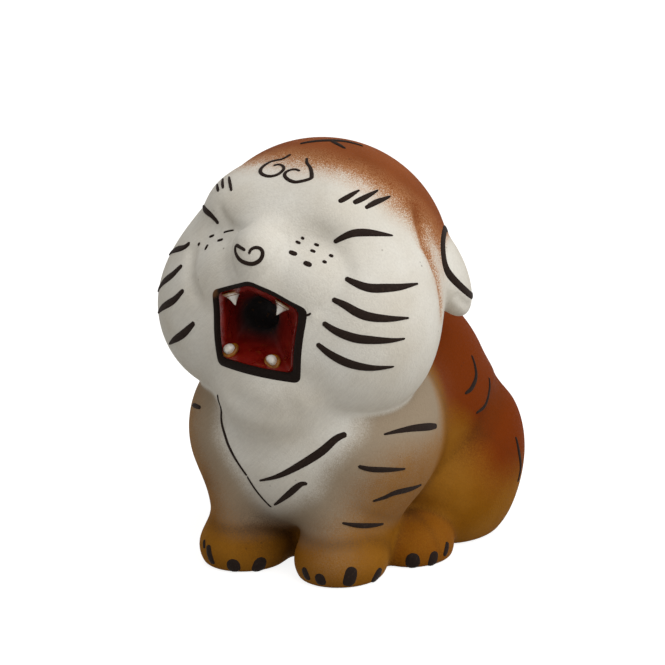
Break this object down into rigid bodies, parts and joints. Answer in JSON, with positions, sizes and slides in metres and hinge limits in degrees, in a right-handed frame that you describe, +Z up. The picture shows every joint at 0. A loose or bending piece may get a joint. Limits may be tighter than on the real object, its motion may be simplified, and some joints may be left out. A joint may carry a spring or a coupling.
{
  "type": "tea pet",
  "caption": "Seated, yawning tiger cub figurine in painted hollow clay, with a glazed open mouth, small fangs and a flat base, made to stand on a tea tray.",
  "frame": {"origin": "on the underside of the base, on the table, under the middle of the body", "axes": "+Z up, -Y the way the tiger faces, +X the tiger's left side"},
  "size_m": [0.0547, 0.0745, 0.0769],
  "materials": {
    "cream_slip": "matte brushed slip",
    "sprayed_brown": "matte sprayed oxide over slip",
    "bib_slip": "matte slip shaded to ochre",
    "ochre_coat": "matte sprayed ochre",
    "red_glaze": "glossy dark red glaze",
    "tooth_white": "glossy white",
    "amber_glaze": "glossy amber",
    "bare_clay": "unpainted fired clay"
  },
  "bodies": {
    "root": {"face_shell": "cream_slip", "skull_shell": "sprayed_brown", "left_ear": "cream_slip", "right_ear": "cream_slip", "mouth_cup": "red_glaze", "chest_shell": "bib_slip", "back_shell": "ochre_coat", "left_front_paw": "ochre_coat", "right_front_paw": "ochre_coat", "left_hind_paw": "ochre_coat", "right_hind_paw": "ochre_coat", "tail": "ochre_coat", "base_disc": "bare_clay", "upper_left_fang": "tooth_white", "upper_left_fang_bead": "amber_glaze", "upper_right_fang": "tooth_white", "upper_right_fang_bead": "amber_glaze", "lower_left_fang": "tooth_white", "lower_left_fang_bead": "amber_glaze", "lower_right_fang": "tooth_white", "lower_right_fang_bead": "amber_glaze"}
  },
  "joints": []
}
